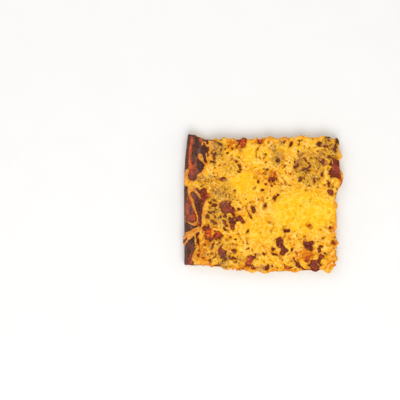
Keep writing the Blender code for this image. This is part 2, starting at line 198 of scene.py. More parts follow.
# Cheese stained by the oil of the sauce, in the same form.
STAINED = (
    (-30, 66, 10, 8), (-3, 69, 8, 5), (85.5, 28, 4, 15), (79, -42, 4, 8), (76, -66, 7, 9), (20, -72, 22, 3),
    (-20, -70, 18, 4), (-62, -50, 8, 16), (-58, -30, 12, 10), (45, -56, 14, 9), (5, 30, 14, 8),
    (-70.5, -49, 4, 15), (50, -23, 5, 4), (76, -27, 4, 4),
)
# Sauce that is bright red and shiny, not baked dark, in the same form.
BRIGHT_SAUCE = (
    (-55, -32, 9, 7), (86.5, 27, 3.6, 13), (50.6, -24.6, 5, 4), (27, -69.2, 4, 3), (-11, -70, 3, 3),
    (-59.8, 7, 3, 4), (-31, 65, 5, 4), (76, -27, 4, 4), (-22.5, 68, 4, 6), (-4.5, 68.5, 5, 5),
    (-16, -61.5, 4, 5, 0.9), (49, -57.5, 4, 5), (77, -41, 4, 5), (-20, 64, 5, 5),
)

# Strands of cheese that lie over the outer crust: their points, and their width.
RIM_STRANDS = (
    (((-79, 22), (-80.4, 15), (-79.9, 9.4), (-77.8, 4.6), (-76, -2), (-73.8, -8), (-71.7, -13.3),
      (-70.9, -19), (-73.5, -22.6)), 3.0),
    (((-74, -23), (-76, -22), (-75, -19.5), (-73, -20.5)), 1.8),
    (((-75, -22.5), (-78.5, -21.4), (-81.5, -20), (-84.2, -18), (-84.2, -12), (-85.2, -5.5)), 2.2),
    (((-78, 19), (-75, 15.5), (-71.5, 11.5), (-68.2, 6.8)), 3.8),
    (((-57, 10), (-60, 6), (-63, -1), (-64.8, -8), (-65, -14), (-63.5, -20), (-60.5, -25)), 3.2),
    (((-86.2, -43), (-84.8, -38), (-81.5, -34), (-76, -30.5), (-66, -27)), 3.4),
    (((-84.6, -44), (-82.8, -40), (-80, -36.5), (-75.5, -32)), 3.2),
    (((-86, -36), (-82, -33.5), (-77, -33), (-72, -29)), 3.0),
    (((-84, -31.5), (-79, -30), (-74, -27), (-69, -25.5)), 2.6),
    (((-82, 47.4), (-84.6, 48), (-85.6, 46.4), (-85.2, 43.5), (-84.8, 40)), 1.9),
    (((-84.5, 40), (-86, 36), (-86.4, 29), (-86.6, 22)), 4.2),
    (((-82, 37), (-83.8, 31), (-83, 25)), 4.0),
    (((-68.8, 53), (-68.1, 51), (-67.2, 49)), 5.0),
    (((-67.2, 49.4), (-65.6, 46.4), (-62.8, 43.4)), 2.4),
    (((-62, 55), (-61.5, 50), (-60, 46)), 2.2),
    (((-66.5, 64.5), (-65.8, 67.5), (-63.3, 67.2), (-62.2, 64.5), (-60, 62.5)), 1.9),
    (((-74.5, -33), (-74, -38), (-74.2, -44)), 2.0),
)
# Strands of cheese that lie over gaps, in the same form.
GAP_STRANDS = (
    (((-60, -26), (-57, -28), (-52.5, -32), (-48, -34.5), (-43, -36)), 2.2),
    (((-62, -33), (-58.5, -34.5), (-55.5, -33.5), (-53, -35.5)), 1.5),
    (((-17, -5.5), (-14.6, -9.5), (-11.5, -13.5), (-9, -15)), 1.8),
    (((-46, -2), (-42, 0.5), (-38.5, 1.5), (-35, 5)), 1.8),
    (((-45, -50), (-41.5, -54), (-40.5, -58), (-37, -60)), 1.7),
    (((8, 24), (10.5, 27), (14, 28.5)), 1.3),
    (((-20, -63), (-16, -60.5), (-13, -60.8)), 1.5),
    (((59, -57), (62, -53.5), (66.5, -52)), 1.6),
    (((52, -68), (55.5, -65), (60, -65.5), (63, -69)), 1.7),
    (((77, 45), (79.5, 40), (79, 34), (82.5, 30)), 1.7),
    (((-41, -19), (-37, -21.5), (-33, -20.5)), 1.6),
    (((79.4, 71.4), (80.9, 69.9), (81.9, 67.4), (82.2, 64.5)), 2.8),
)
# Where the crust and the bare sauce are baked black, and where sauce has turned to an orange-red glaze on the
# outer crust, in the form of the zones of the cheese.
CHARRED = (
    (-85.5, 62, 3, 17), (-86.8, 45, 1.8, 12), (-83, 73, 2.4, 4), (-68.5, 43, 4, 8), (-72, 66, 3, 9),
    (-65, 56, 3.6, 8), (-75, 55, 3, 6), (-71, 0, 6, 10, 0.52), (-83, -25, 5, 6), (-74, -26, 3, 3),
    (-78, -38, 4, 6), (-86, -56, 2.6, 14), (-86, 0, 1.6, 22), (-81, -52, 2.5, 5), (82, 69.5, 3, 3.4),
    (60.3, 65.3, 3, 3), (56.5, -66.5, 5, 4, 0.5), (-43, -56, 4, 5, 0.6), (79, 60.5, 3, 4, 0.6),
    (15.3, 46.8, 2.6, 2.6), (-63, 50, 2, 5), (-75, 62, 2.4, 4), (-76, 47, 3, 4, 0.6), (-68, -9, 3, 12, 0.72),
    (-62, 62, 2, 5), (78, 12.5, 4, 5, 0.6),
)
GLAZED = (
    (-78.4, 69, 2.6, 5), (-79.9, 60, 2.8, 8), (-81.4, 51, 2.4, 8), (-80.8, 42.5, 4.4, 6),
    (-79.6, 36, 3, 5, 0.8), (-75.5, 36, 4, 7, 0.44), (-77.5, 31, 4, 5, 0.5), (-68, 70.5, 2, 4, 0.8),
    (-75, 66, 5, 9, 0.3), (-84.2, 4, 2, 4, 0.8), (-82, -9, 2, 4, 0.85), (-76, -15, 3, 5, 1),
    (-61.5, 6, 2.6, 4), (-71, -49, 2.8, 12, 0.9), (-80, -6, 8, 14, 0.5), (-77, 25, 4, 5, 0.5),
    (-81, -60, 5, 8, 0.42), (-75, 50, 4, 10, 0.22), (-66, 5, 5, 14, 0.5),
)

# Grated cheese: how many shreds are tried, where, and how long and wide they are.
SHREDS = 1800
SHRED_AREA = ((-80, 84), (-75, 74))
SHRED_LENGTHS = (5.0, 15.0)
SHRED_WIDTHS = (1.7, 3.5)
SHRED_SEED = 5
# The shares of the shreds that may cross a narrow gap, and a wide one.
BRIDGING = 0.2
SPANNING = 0.03


# Grids and noise


class Grid:
    """The points of a box, one step apart."""

    def __init__(self, low, high, step):
        self.low = np.array(low, float)
        self.step = step
        self.axes = [a + step * np.arange(int((b - a) / step) + 2) for a, b in zip(low, high)]
        self.x, self.y = np.meshgrid(self.axes[0], self.axes[1], indexing="ij")
        self.z = self.axes[2][None, None, :]

    def near(self, low, high):
        """The slices of the grid that cover a box."""
        cut = []
        for a, b, start, axis in zip(low, high, self.low, self.axes):
            first = max(int((a - start) / self.step), 0)
            last = min(int((b - start) / self.step) + 2, len(axis))
            cut.append(slice(first, max(last, first)))
        return tuple(cut)

    def lines(self, cut, origin=(0, 0, 0)):
        """X, Y and Z in a cut of the grid, measured from an origin, each along its own axis."""
        x, y, z = (axis[part] - start for axis, part, start in zip(self.axes, cut, origin))
        return x[:, None, None], y[None, :, None], z[None, None, :]

    def sample(self, values, points):
        """The values of a map over X and Y at these points."""
        at = (points[:, :2] - self.low[:2]) / self.step
        cell = np.clip(at.astype(int), 0, np.array(values.shape) - 2)
        u, v = np.clip(at - cell, 0, 1).T
        i, j = cell.T
        low = values[i, j] * (1 - u) + values[i + 1, j] * u
        high = values[i, j + 1] * (1 - u) + values[i + 1, j + 1] * u
        return low * (1 - v) + high * v

    def value_at(self, values, x, y):
        return self.sample(values, np.array([[x, y]]))[0]


# The reach of every noise, and the step of the slow ones.
NOISE_LOW = -110.0
NOISE_HIGH = 110.0
WAVE_STEP = 2.0


def spline_weights(at, size):
    """How much each knot of a noise counts at each coordinate, by a cubic B-spline."""
    knots = int((NOISE_HIGH - NOISE_LOW) / size) + 6
    u = (at - NOISE_LOW) / size + 2
    cell = u.astype(int)
    t = u - cell
    weights = np.zeros((len(at), knots))
    shares = ((1 - t) ** 3, 3 * t**3 - 6 * t**2 + 4, -3 * t**3 + 3 * t**2 + 3 * t + 1, t**3)
    for k, share in enumerate(shares):
        weights[np.arange(len(at)), cell - 1 + k] = share / 6
    return weights


def noise_map(grid, size, seed, stretch=(1, 1)):
    """Smooth noise over X and Y, mostly from -1 to 1, with bumps of this size. Every seed gives another."""
    across = spline_weights(grid.axes[0], size * stretch[0])
    along = spline_weights(grid.axes[1], size * stretch[1])
    knots = np.random.default_rng(seed).normal(size=(across.shape[1], along.shape[1]))
    return across @ knots @ along.T


def noise_volume(grid, size, seed):
    """Smooth noise in the whole box, mostly from -1 to 1."""
    weights = [spline_weights(axis, size) for axis in grid.axes]
    weights[2] = weights[2][:, weights[2].any(axis=0)]
    mixed = np.random.default_rng(seed).normal(size=[w.shape[1] for w in weights])
    for axis, w in enumerate(weights):
        mixed = np.moveaxis(np.tensordot(w, mixed, (1, axis)), 0, axis)
    return mixed * 1.4


def wave_map(grid, size, seed):
    """The same slow noise as in the CAD model, from points WAVE_STEP apart."""
    coarse = np.arange(NOISE_LOW, NOISE_HIGH, WAVE_STEP)
    values = np.array([[noise.noise(Vector((x / size, y / size, seed))) for y in coarse] for x in coarse])
    across = np.array([np.interp(grid.axes[0], coarse, line) for line in values.T]).T
    return np.array([np.interp(grid.axes[1], coarse, line) for line in across])


def anywhere(draw, area):
    """A random place in an area, which is given by its ranges along X and Y."""
    return draw.uniform(*area[0]), draw.uniform(*area[1])


# Shapes


def smooth_min(a, b, soft):
    """The least of two values, rounded where they cross."""
    h = np.maximum(soft - np.abs(a - b), 0) / soft
    return np.minimum(a, b) - h * h * soft / 4


def smooth_max(a, b, soft):
    return -smooth_min(-a, -b, soft)


def smooth_step(value, low, high):
    t = np.clip((value - low) / (high - low), 0, 1)
    return t * t * (3 - 2 * t)


def smooth_side(points, steps=8):
    """A smooth curve through the points, without the last one."""
    knots = [np.array(p, float) for p in (points[0], *points, points[-1])]
    dense = []
    for a, b, c, d in zip(knots, knots[1:], knots[2:], knots[3:]):
        for k in range(steps):
            t = k / steps
            bend = (2 * a - 5 * b + 4 * c - d) * t**2 + (3 * b - a - 3 * c + d) * t**3
            dense.append(0.5 * (2 * b + (c - a) * t + bend))
    return dense


def outline_distance(grid, points):
    """How far each place is outside a closed outline, less than 0 inside it."""
    x, y = grid.x, grid.y
    nearest = np.full(x.shape, 1e9)
    inside = np.zeros(x.shape, bool)
    for (x0, y0), (x1, y1) in zip(points, [*points[1:], points[0]]):
        dx, dy = x1 - x0, y1 - y0
        share = np.clip(((x - x0) * dx + (y - y0) * dy) / max(dx * dx + dy * dy, 1e-9), 0, 1)
        nearest = np.minimum(nearest, (x - x0 - share * dx) ** 2 + (y - y0 - share * dy) ** 2)
        if dy:
            inside ^= ((y0 > y) != (y1 > y)) & (x < (y - y0) * dx / dy + x0)
    return np.sqrt(nearest) * np.where(inside, -1, 1)


def ovals(grid, places, warp=(0, 0)):
    """How far each place is outside the nearest of some turned ovals, in millimetres, less than 0 inside.
    The warp shifts X and Y from place to place, which makes the ovals ragged."""
    nearest = np.full(grid.x.shape, 1e9)
    gx, gy = grid.x + warp[0], grid.y + warp[1]
    for x, y, length, width, angle in places:
        c, s = math.cos(math.radians(angle)), math.sin(math.radians(angle))
        u = ((gx - x) * c + (gy - y) * s) / (length / 2)
        v = ((gy - y) * c - (gx - x) * s) / (width / 2)
        nearest = np.minimum(nearest, (np.sqrt(u * u + v * v) - 1) * math.sqrt(length * width) / 2)
    return nearest


def zone(grid, places):
    """1 in the middle of each soft-edged zone, or its own weight if it has one, and 0 outside them all."""
    most = np.zeros(grid.x.shape)
    for x, y, wide, deep, *weight in places:
        away = np.hypot((grid.x - x) / wide, (grid.y - y) / deep)
        most = np.maximum(most, (1 - smooth_step(away, *ZONE_FADE)) * (weight[0] if weight else 1))
    return most


def strand_distance(grid, cut, points, radii, flatness):
    """Distance from a strand through points in space, flattened by this factor, at the cut of the grid."""
    x, y, z = grid.lines(cut)
    z = z / flatness
    nearest = None
    for (a, ra), (b, rb) in zip(zip(points, radii), zip(points[1:], radii[1:])):
        ax, ay, az = a[0], a[1], a[2] / flatness
        dx, dy, dz = b[0] - ax, b[1] - ay, b[2] / flatness - az
        long = dx * dx + dy * dy + dz * dz
        share = np.clip(((x - ax) * dx + (y - ay) * dy + (z - az) * dz) / long, 0, 1)
        away = (x - ax - share * dx) ** 2 + (y - ay - share * dy) ** 2 + (z - az - share * dz) ** 2
        away = np.sqrt(away) - (ra + (rb - ra) * share)
        nearest = away if nearest is None else np.minimum(nearest, away)
    return nearest * flatness if flatness < 1 else nearest


# Meshes


def surface(field, grid):
    """The surface where a field is 0, as points and four-sided faces (surface nets)."""
    for axis in range(3):
        ends = [slice(None)] * 3
        for end in (0, -1):
            ends[axis] = end
            field[tuple(ends)] = 1.0
    inside = field < 0
    size = np.array(field.shape) - 1
    count = np.zeros(size, np.int8)
    for i, j, k in np.ndindex(2, 2, 2):
        count += inside[i:size[0] + i, j:size[1] + j, k:size[2] + k]
    active = (count > 0) & (count < 8)
    cells = np.argwhere(active)
    number = np.full(active.shape, -1, np.int32)
    number[active] = np.arange(len(cells))
    total = np.zeros((len(cells), 3))
    hits = np.zeros(len(cells))
    for axis in range(3):
        unit = np.eye(3, dtype=int)[axis]
        for i, j in np.ndindex(2, 2):
            start = np.insert([i, j], axis, 0)
            a = field[tuple((cells + start).T)]
            b = field[tuple((cells + start + unit).T)]
            cross = (a < 0) != (b < 0)
            share = np.where(cross, a / np.where(cross, a - b, 1), 0)
            total += cross[:, None] * (start + share[:, None] * unit)
            hits += cross
    points = (cells + total / hits[:, None]) * grid.step + grid.low
    faces = []
    for axis in range(3):
        u, v = np.eye(3, dtype=int)[(axis + 1) % 3], np.eye(3, dtype=int)[(axis + 2) % 3]
        here = np.moveaxis(inside, axis, 0)
        change = np.moveaxis(here[:-1] != here[1:], 0, axis)
        at = np.argwhere(change)
        around = [number[tuple((at - shift).T)] for shift in (u + v, v, 0 * u, u)]
        quads = np.stack(around, axis=1)
        solid = inside[tuple(at.T)]
        faces.append(np.where(solid[:, None], quads, quads[:, ::-1]))
    return points, np.concatenate(faces)


def main_part(points, faces):
    """The largest connected part of a mesh."""
    label = np.arange(len(points))
    while True:
        before = label.copy()
        low = label[faces].min(axis=1)
        for k in range(faces.shape[1]):
            np.minimum.at(label, faces[:, k], low)
        label = label[label]
        if (label == before).all():
            break
    names, counts = np.unique(label, return_counts=True)
    keep = label == names[counts.argmax()]
    renumber = np.cumsum(keep) - 1
    return points[keep], renumber[faces[keep[faces[:, 0]]]]


def make_piece(name, points, faces, finish):
    """A smooth mesh object in metres, thinned out if it has too many triangles."""
    mesh = bpy.data.meshes.new(name)
    mesh.from_pydata((points * MM).tolist(), [], faces.tolist())
    mesh.validate()
    piece = bpy.data.objects.new(name, mesh)
    bpy.context.scene.collection.objects.link(piece)
    triangles = len(faces) * (faces.shape[1] - 2)
    if triangles > TRIANGLES_MOST:
        thin = piece.modifiers.new("thin", "DECIMATE")
        thin.ratio = TRIANGLES_MOST / triangles
        bpy.context.view_layer.update()
        graph = bpy.context.evaluated_depsgraph_get()
        piece.data = bpy.data.meshes.new_from_object(piece.evaluated_get(graph))
        piece.modifiers.clear()
        bpy.data.meshes.remove(mesh)
    piece.data.shade_smooth()
    piece.data.materials.clear()
    piece.data.materials.append(finish)
    return piece


def points_of(piece):
    """The points of a piece, in millimetres."""
    flat = np.empty(3 * len(piece.data.vertices), np.float32)
    piece.data.vertices.foreach_get("co", flat)
    return flat.reshape(-1, 3) / MM


def store(piece, name, values):
    layer = piece.data.attributes.new(name, "FLOAT", "POINT")
    layer.data.foreach_set("value", np.clip(values, 0, 1).astype(np.float32))


def store_maps(piece, grid, at, maps):
    """Stores the values of some maps at the points of a piece."""
    for name, values in maps.items():
        store(piece, name, grid.sample(values, at))


def mount(piece, node=None):
    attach(piece, "root")
    if node:
        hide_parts(node)


# Heights of the layers


def from_left(grid):
    """How far each place is from the slice's left side, in millimetres."""
    left = DOUGH_LEFT[::-1]
    return grid.x - np.interp(grid.y, [p[1] for p in left], [p[0] for p in left])


def rim_share(grid):
    """How far across the outer crust each place is, from 0 at its outer side to 1 where it ends."""
    width = RIM_WIDTH_FRONT + (RIM_WIDTH_BACK - RIM_WIDTH_FRONT) * (0.5 + grid.y / (2 * HALF_WIDTH))
    return from_left(grid) / width


def rim_height(grid):
    share = rim_share(grid)
    up = 0.55 + 0.45 * np.sin(np.pi / 2 * np.clip(share, 0, RIM_CREST) / RIM_CREST)
    down = 0.5 + 0.5 * np.cos(np.pi * (np.clip(share, RIM_CREST, 1) - RIM_CREST) / (1 - RIM_CREST))
    crags = 1 + 0.25 * wave_map(grid, 15, 3.3) + 0.15 * wave_map(grid, 7, 8.1)
    return RIM_RISE * np.where(share < RIM_CREST, up, down) * crags


def rim_relief(grid):
    """Blisters and long ridges on the outer crust."""
    blisters = np.maximum(noise_map(grid, 5.5, 21), 0) * 1.3 + np.maximum(noise_map(grid, 2.6, 22), 0) * 0.5
    ridges = np.abs(noise_map(grid, 3.0, 23, (1, 5))) * 1.3
    return (blisters - ridges) * (1 - smooth_step(rim_share(grid), 0.8, 1.1))


DOUGH_CUTS = [*smooth_side(DOUGH_FRONT), *smooth_side(DOUGH_RIGHT), *smooth_side(DOUGH_BACK)]
DOUGH_OUTLINE = DOUGH_CUTS + smooth_side(DOUGH_LEFT)
SAUCE_OUTLINE = [
    *smooth_side((SAUCE_LEFT[-1], *DOUGH_FRONT[1:])), *smooth_side(DOUGH_RIGHT),
    *smooth_side((*DOUGH_BACK[:4], SAUCE_LEFT[0])), *smooth_side(SAUCE_LEFT),
]


class Layers:
    """The heights of the layers over a grid, as in the CAD model, the relief on the outer crust, and how far
    each place is outside the dough."""

    def __init__(self, grid):
        rim = rim_height(grid)
        self.rim = np.clip(rim / RIM_RISE, 0, 1)
        thin = 1 - RIM_THINNING * self.rim
        self.dough = DOUGH_HEIGHT + 0.8 * wave_map(grid, 38, 0.7) + rim
        self.sauce = self.dough + CLEARANCE + SAUCE_THICKNESS * (1 + 0.45 * wave_map(grid, 16, 5.2)) * thin
        self.crust = self.dough + rim_relief(grid)
        self.wall = outline_distance(grid, DOUGH_OUTLINE)


# The dough


def dough_field(grid, layers):
    """The dough: a slab with soft edges whose sides bulge a little."""
    top = layers.crust[:, :, None]
    bulge = np.interp(grid.z / top, BULGE_AT, BULGES)
    field = smooth_max(grid.z - top, layers.wall[:, :, None] - bulge, 2.0)
    return smooth_max(field, 0.02 - grid.z, 1.0)


def cut_pores(grid, field):
    """Opens the air holes of the crumb along the cut sides."""
    draw = np.random.default_rng(25)
    runs = np.array([*DOUGH_CUTS, DOUGH_BACK[-1]])
    steps = np.linalg.norm(np.diff(runs, axis=0), axis=1)
    along = np.concatenate([[0], np.cumsum(steps)])
    smallest, largest = PORE_RADII
    for _ in range(PORES):
        reach = draw.uniform(4, along[-1] - 4)
        k = min(np.searchsorted(along, reach) - 1, len(steps) - 1)
        ahead = (runs[k + 1] - runs[k]) / steps[k]
        inward = np.array([-ahead[1], ahead[0]])
        size = smallest + (largest - smallest) * draw.uniform() ** 3
        radii = np.array([size * draw.uniform(1.0, 1.8), size, size * draw.uniform(0.5, 0.9)])
        spot = runs[k] + ahead * (reach - along[k]) + inward * (draw.uniform(-1.6, 0.8) + 0.3 * size)
        centre = np.array([*spot, DOUGH_HEIGHT * (0.16 + 0.72 * draw.uniform())])
        around = radii.max() + 1
        cut = grid.near(centre - around, centre + around)
        x, y, z = grid.lines(cut, centre)
        u = (x * ahead[0] + y * ahead[1]) / radii[0]
        v = (x * inward[0] + y * inward[1]) / radii[1]
        away = (np.sqrt(u * u + v * v + (z / radii[2]) ** 2) - 1) * radii.min()
        field[cut] = smooth_max(field[cut], -away, 0.35)


def make_crust():
    grid = Grid(*DOUGH_GRID)
    layers = Layers(grid)
    field = dough_field(grid, layers)
    field += 0.16 * noise_volume(grid, 3.2, 24) * smooth_step(grid.z, 0.6, 2.0)
    cut_pores(grid, field)
    piece = make_piece("baked_crust", *main_part(*surface(field, grid)), crust_finish())
    at = points_of(piece)
    at[:, 2] = np.maximum(at[:, 2], 0)
    piece.data.vertices.foreach_set("co", (at * MM).ravel())
    dough = grid.sample(layers.dough, at)
    rim = 1 - smooth_step(grid.sample(rim_share(grid), at), 0.85, 1.1)
    ragged = 0.8 * grid.sample(noise_map(grid, 3, 26), at)
    below = dough - at[:, 2] + ragged
    inward = grid.sample(from_left(grid), at) + ragged
    skin = 1 - smooth_step(below, 1.6, 3.2) * smooth_step(inward, 1.0, 2.4)
    height = at[:, 2] / np.maximum(dough, 1)
    edge = (1 - smooth_step(inward, 1.2, 3.4)) * smooth_step(at[:, 1], -30, 30)
    store(piece, "rim", rim * skin)
    store(piece, "height", height)
    store(piece, "charred", np.maximum(grid.sample(zone(grid, CHARRED), at), edge))
    store(piece, "glaze", grid.sample(zone(grid, GLAZED), at) * smooth_step(height, 0.5, 0.8))
    mount(piece, "crust")


# The sauce


def add_run(grid, field, layers, run, thick):
    """Merges the field with a tongue that has run down over a cut side from its top edge, and follows the
    side."""
    x, y, drop, width = run
    top = grid.value_at(layers.sauce, x, y)
    out = grid.value_at(layers.wall, x, y) + 1.2
    low = np.array([x, y, top - drop]) - width - 3
    high = np.array([x, y, top]) + width + 3
    cut = grid.near(low, high)
    along_x, along_y, z = grid.lines(cut, (x, y, 0))
    front = abs(y) / HALF_WIDTH > abs(x) / HALF_LENGTH
    u = (along_x if front else along_y) / (width / 2)
    v = (layers.wall[cut[:2]][:, :, None] - out * (1 - u * u)) / thick
    taper = np.clip((top - z) / drop, 0, 1)
    end = min(0.45 * width, drop)
    w = np.maximum((top - drop + end - z) / end, 0) + np.maximum(z - top, 0) / thick
    away = (np.sqrt((u * (1 + 0.4 * taper)) ** 2 + v * v + w * w) - 1) * thick
    field[cut] = smooth_min(field[cut], away, 1.6)


def make_sauce(cheese):
    grid = Grid(*SAUCE_GRID)
    layers = Layers(grid)
    side = outline_distance(grid, SAUCE_OUTLINE) + 0.25 * noise_map(grid, 4, 31)
    pulp = 0.55 * noise_map(grid, 4.2, 32) + 0.4 * np.maximum(noise_map(grid, 2.0, 33), 0)
    top = (layers.sauce + np.minimum(pulp, 0.5))[:, :, None]
    floor = (layers.dough + 0.1)[:, :, None]
    field = smooth_max(grid.z - top, side[:, :, None] - 0.3, 1.2)
    field = smooth_max(field, floor - grid.z, 0.3)
    for run in SAUCE_RUNS:
        add_run(grid, field, layers, run, SAUCE_RUN_THICKNESS)
    piece = make_piece("baked_sauce", *main_part(*surface(field, grid)), sauce_finish())
    at = points_of(piece)
    store(piece, "pulp", 0.5 + 0.6 * grid.sample(pulp, at))
    # How far each point is from the cheese; near the cheese the finish paints the sauce dark as shade.
    bare = np.maximum(-cheese.grid.sample(cheese.gap, at), cheese.grid.sample(cheese.side, at))
    store(piece, "bare", smooth_step(bare, 0.0, 2.4))
    zones = {"bright": BRIGHT_SAUCE, "toasted": TOASTED, "charred": CHARRED}
    store_maps(piece, grid, at, {name: zone(grid, places) for name, places in zones.items()})
    mount(piece, "tomato_sauce")


# The cheese


class Cheese:
    """The field of the melted top, and what it is made of."""

    def __init__(self, grid):
        self.grid = grid
        self.layers = Layers(grid)
        self.melted = zone(grid, MELTED)
        self.toasted = zone(grid, TOASTED)
        self.draw = np.random.default_rng(SHRED_SEED)
        self.side = outline_distance(grid, CHEESE_OUTLINE) + 0.45 * noise_map(grid, 2.6, 41) + 0.3
        self.gap = np.minimum(self.gaps(), self.lace())
        sauce_edge = outline_distance(grid, SAUCE_OUTLINE)
        self.off = smooth_step(sauce_edge, -0.6, 0.6) * (grid.x < -55)
        self.ground = self.layers.sauce + (self.layers.crust - self.layers.sauce) * self.off
        self.sauced = sauce_edge < 0
        self.tone = np.full(grid.x.shape, 0.5)
        shown = smooth_step(self.melted, 0.1, 0.6)
        self.ridges, self.furrows = (trace_map(grid, seed) * shown for seed in (53, 54))

    def gaps(self):
        """How far each place is outside the nearest gap, slit or pit."""
        grid = self.grid
        warp = [2.3 * noise_map(grid, 6, seed) + 2.4 * noise_map(grid, 2.8, seed + 1) for seed in (60, 62)]
        slight = [0.4 * shift for shift in warp]
        draw = np.random.default_rng(66)
        crowd = noise_map(grid, 9, 67)
        pits = []
        low, high = PIT_WIDTHS
        for _ in range(PITS):
            width = low + (high - low) * draw.uniform() ** 2
            x, y = anywhere(draw, PIT_AREA)
            pit = (x, y, width * draw.uniform(1, 2), width, draw.uniform(0, 180))
            if grid.value_at(crowd, x, y) > 0.1 + 0.7 * grid.value_at(self.melted, x, y):
                pits.append(pit)
        large = ovals(grid, GAPS, warp) + 1.2 * noise_map(grid, 1.8, 42)
        return np.minimum(large, ovals(grid, SLITS + tuple(pits), slight))

    def lace(self):
        """How far each place is outside the nearest small ragged hole, where the cheese has baked brown."""
        threads = noise_map(self.grid, 2.6, 64) + 0.6 * noise_map(self.grid, 1.5, 65)
        return LACE_SLOPE * (LACE_LEVEL + 1.6 * (1 - self.toasted) - threads)

    def blanket(self):
        """The cheese that has melted together, with sloping sides at the gaps."""
        grid = self.grid
        swell = 1 + 0.5 * wave_map(grid, 17, 1.9) + 0.3 * wave_map(grid, 9, 4.4)
        thick = CHEESE_THICKNESS * (0.29 + 0.35 * self.melted) * np.maximum(swell, 0.5)
        thick *= 1 - RIM_THINNING * self.layers.rim
        lumps = 0.30 * noise_map(grid, 3.4, 44) + 0.22 * noise_map(grid, 1.7, 45)
        thick += lumps * (1 - 0.55 * self.melted)
        thick = np.maximum(thick, 0.3 + 0.6 * self.off) * smooth_step(self.gap, -0.4, 1.2)
        thick -= 1.2 * smooth_step(-self.gap, -0.6, 0.4)
        self.top = self.ground + thick
        field = smooth_max(grid.z - self.top[:, :, None], self.side[:, :, None], 1.4)
        self.floor = (self.ground - 0.05 - 0.4 * self.off)[:, :, None]
        self.field = np.maximum(field, self.floor - grid.z).astype(np.float32)

    def runs(self):
        """Cheese that has run down over the cut sides."""
        for run in CHEESE_RUNS:
            add_run(self.grid, self.field, self.layers, run, CHEESE_RUN_THICKNESS)

    def lay(self, places, width, lift, soft, tone, flatness=0.65, stiff=True):
        """Lays one strand on the top, and merges it. A stiff one goes straight over what is lower between its
        ends."""
        radii = width / 2 * self.draw.uniform(0.8, 1.15, len(places))
        radii[[0, -1]] *= 0.6
        places = np.array(places)
        under = self.grid.sample(self.top, places)
        chord = np.linspace(under[0], under[-1], len(places))
        heights = (np.maximum(under, chord - 0.3) if stiff else under) + lift
        points = [(x, y, h) for (x, y), h in zip(places, heights)]
        spread = np.array(points)
        cut = self.grid.near(spread.min(axis=0) - width, spread.max(axis=0) + width)
        away = strand_distance(self.grid, cut, points, radii, flatness)
        self.field[cut] = smooth_min(self.field[cut], away, soft)
        flat = away.min(axis=2)
        here = cut[:2]
        pile = heights.mean() + flatness * np.sqrt(np.maximum((width / 2) ** 2 - (flat + width / 2) ** 2, 0))
        self.top[here] = np.where(flat < 0, np.maximum(self.top[here], pile - 0.5), self.top[here])
        self.tone[here] = np.where(flat < 0.1, tone, self.tone[here])

    def shreds(self):
        """Grated shreds, which lie side by side in most places and rarely cross a gap."""
        grid, draw = self.grid, self.draw
        heading_map = noise_map(grid, 24, 46) * 2.2
        most = self.ground + 1.35 * CHEESE_THICKNESS
        for _ in range(SHREDS):
            x, y = anywhere(draw, SHRED_AREA)
            heading = grid.value_at(heading_map, x, y) + draw.normal() * 0.9
            length, width = draw.uniform(*SHRED_LENGTHS), draw.uniform(*SHRED_WIDTHS)
            bend, lift, tone = draw.normal() * 0.6, draw.uniform(-0.5, 0.7), draw.uniform()
            chance = draw.uniform()
            reach = -7 if chance < SPANNING else -1.4 if chance < BRIDGING else draw.uniform(-1.1, 0.4)
            melted, toasted = grid.value_at(self.melted, x, y), grid.value_at(self.toasted, x, y)
            places = bent_line(x, y, length * (1 - 0.3 * toasted), heading, bend)
            out = grid.sample(self.side, places)
            if out.max() > 1.3 or out.mean() > -0.3:
                continue
            clear = grid.sample(self.gap, places) > reach
            places = places[longest_run(clear)]
            if len(places) < 3:
                continue
            room = grid.value_at(most - self.top, x, y)
            lift = min(lift, room) - 0.65 * melted
            self.lay(places, width * (1 - 0.25 * toasted), lift, 0.4 + 1.2 * melted, tone)

    def rim_strands(self):
        """Strands that lie on the outer crust, and hang over its outer side."""
        self.toasted = np.maximum(self.toasted, 0.5 * smooth_step(self.side, -1.0, 1.5) * (self.grid.x < -55))
        outer = np.maximum(self.layers.wall + 2, 0)
        rest = np.where(self.sauced, self.layers.sauce, self.layers.crust) - 0.5 * outer**2
        self.top = np.where(self.side > -0.3, rest, self.top)
        for points, width in RIM_STRANDS:
            places = smooth_side(points, 5) + [np.array(points[-1], float)]
            self.lay(places, width, 0.12 * width, 0.8, 0.35, 0.6, False)

    def gap_strands(self):
        """Strands that cross the gaps."""
        for points, width in GAP_STRANDS:
            places = smooth_side(points, 4) + [np.array(points[-1], float)]
            self.lay(places, width, -0.1, 0.6, 0.25)

    def trim(self):
        """Roughens the top, and keeps the cheese clear of the dough and the sauce."""
        grid = self.grid
        rough = 0.24 * noise_map(grid, 2.3, 48) * (1 - 0.6 * self.melted) + 0.1 * noise_map(grid, 1.2, 49)
        rough += 0.22 * (self.furrows - self.ridges)
        self.field += rough[:, :, None].astype(np.float32)
        dough = dough_field(grid, self.layers)
        under = np.where(self.sauced[:, :, None], self.floor - grid.z, -1.0)
        self.field = np.maximum(np.maximum(self.field, 0.05 - dough), under).astype(np.float32)


